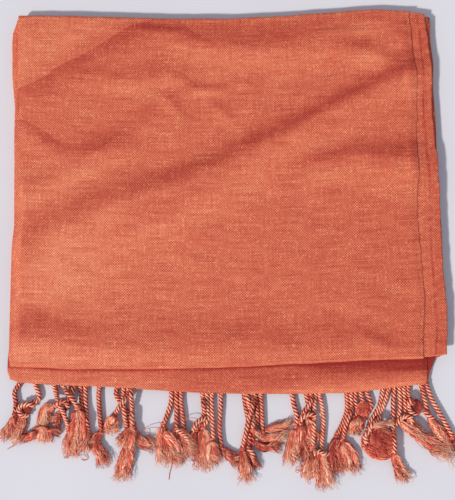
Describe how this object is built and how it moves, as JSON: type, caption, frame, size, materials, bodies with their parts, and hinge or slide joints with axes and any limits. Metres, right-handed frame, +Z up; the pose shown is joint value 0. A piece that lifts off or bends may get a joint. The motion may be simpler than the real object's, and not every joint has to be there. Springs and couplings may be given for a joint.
{
  "type": "folded scarf",
  "caption": "Soft woven scarf folded flat into a rectangle, with a fringed end of twisted, knotted cords and frayed tassels showing below the top panel.",
  "frame": {"origin": "centre of the folded scarf's outline, on the surface it lies on", "axes": "+Z up from the surface, +Y away from the fringe, +X towards the selvages; the lengthwise fold is at -X"},
  "size_m": [0.3719, 0.4069, 0.0153],
  "materials": {
    "cloth_top": "silky plain weave, orange shot with red",
    "cloth_end": "silky plain weave, orange shot with red",
    "cloth_inner": "silky plain weave, orange shot with red",
    "cloth_under": "silky plain weave, orange shot with red",
    "fringe_upper": "twisted two-ply yarn, orange and dark red",
    "fringe_lower": "twisted two-ply yarn, orange and dark red"
  },
  "bodies": {
    "root": {"top_panel": "cloth_top", "end_panel": "cloth_end", "inner_layers": "cloth_inner", "under_layers": "cloth_under", "fringe_upper": "fringe_upper", "fringe_lower": "fringe_lower"}
  },
  "joints": []
}
